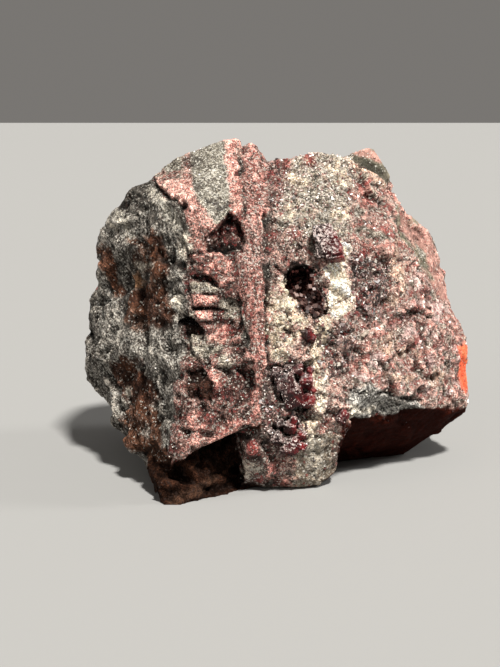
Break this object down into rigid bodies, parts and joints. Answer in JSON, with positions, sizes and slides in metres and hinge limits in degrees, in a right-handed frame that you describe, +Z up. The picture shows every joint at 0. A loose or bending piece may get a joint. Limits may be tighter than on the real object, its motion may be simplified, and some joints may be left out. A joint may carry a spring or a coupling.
{
  "type": "cinnabar specimen",
  "caption": "Broken hand-size chunk of dark dolomite ore with red cinnabar veins and dark red cinnabar crystals on its display face.",
  "frame": {"origin": "centre of the bounding box's footprint, on the ground face", "axes": "+Z up, -Y out of the display face, +X to its right"},
  "size_m": [0.0968, 0.0762, 0.0791],
  "materials": {
    "host_rock": "rough broken rock, dark grey to brown with pink-red veins, cream grains and fine sparkle",
    "cinnabar_crystal": "glossy dark red crystal faces"
  },
  "bodies": {
    "root": {"host_rock": "host_rock", "upper_crystal": "cinnabar_crystal", "middle_crystal": "cinnabar_crystal", "lower_crystals": "cinnabar_crystal", "foot_crystals": "cinnabar_crystal", "notch_crystal": "cinnabar_crystal", "cavity_crystals": "cinnabar_crystal"}
  },
  "joints": []
}
